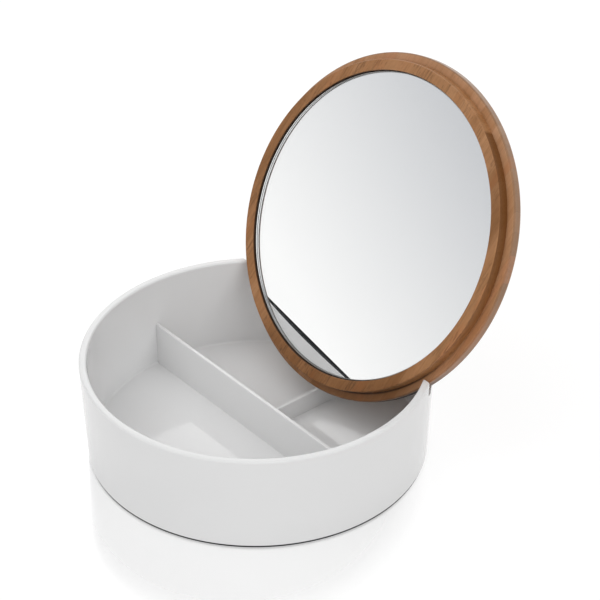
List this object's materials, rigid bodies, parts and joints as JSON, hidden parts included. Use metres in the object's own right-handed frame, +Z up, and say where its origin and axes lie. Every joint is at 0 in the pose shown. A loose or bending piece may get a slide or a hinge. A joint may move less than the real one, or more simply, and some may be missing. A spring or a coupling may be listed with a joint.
{
  "type": "makeup and jewellery organizer",
  "caption": "Round tray with a T of dividers for makeup and jewellery. Its bamboo lid carries a mirror and stands leaning back in notches of the tray's wall.",
  "frame": {"origin": "centre of the tray's round underside, on the surface that it stands on; the standing lid reaches past the tray behind, so this isn't the middle of the whole object's box", "axes": "+Z up, the tray's own axis; +X along the long divider, with the object's left half the mirror image of its right; +Y towards the back, where the lid stands. The mirror faces -Y and up"},
  "size_m": [0.1804, 0.2165, 0.1777],
  "materials": {
    "tray_plastic": "white moulded plastic, satin gloss",
    "pad_rubber": "thin matt non-slip sheet",
    "bamboo": "caramelised laminated bamboo, satin lacquer",
    "clear_glass": "clear float glass, seamed edge",
    "silvering": "silvered front, grey paint behind",
    "foam_tape": "double-sided foam tape"
  },
  "bodies": {
    "tray": {"tray_shell": "tray_plastic", "long_divider": "tray_plastic", "short_divider": "tray_plastic", "base_pad": "pad_rubber"},
    "lid": {"lid_board": "bamboo", "lid_ring": "bamboo", "mirror_glass": "clear_glass", "mirror_backing": "silvering", "mirror_tape": "foam_tape"}
  },
  "joints": [
    {"name": "lid_lift", "type": "slide", "parent": "tray", "child": "lid", "axis": [0, 0.4863, 0.8738], "range_m": [0, 0.06]}
  ]
}
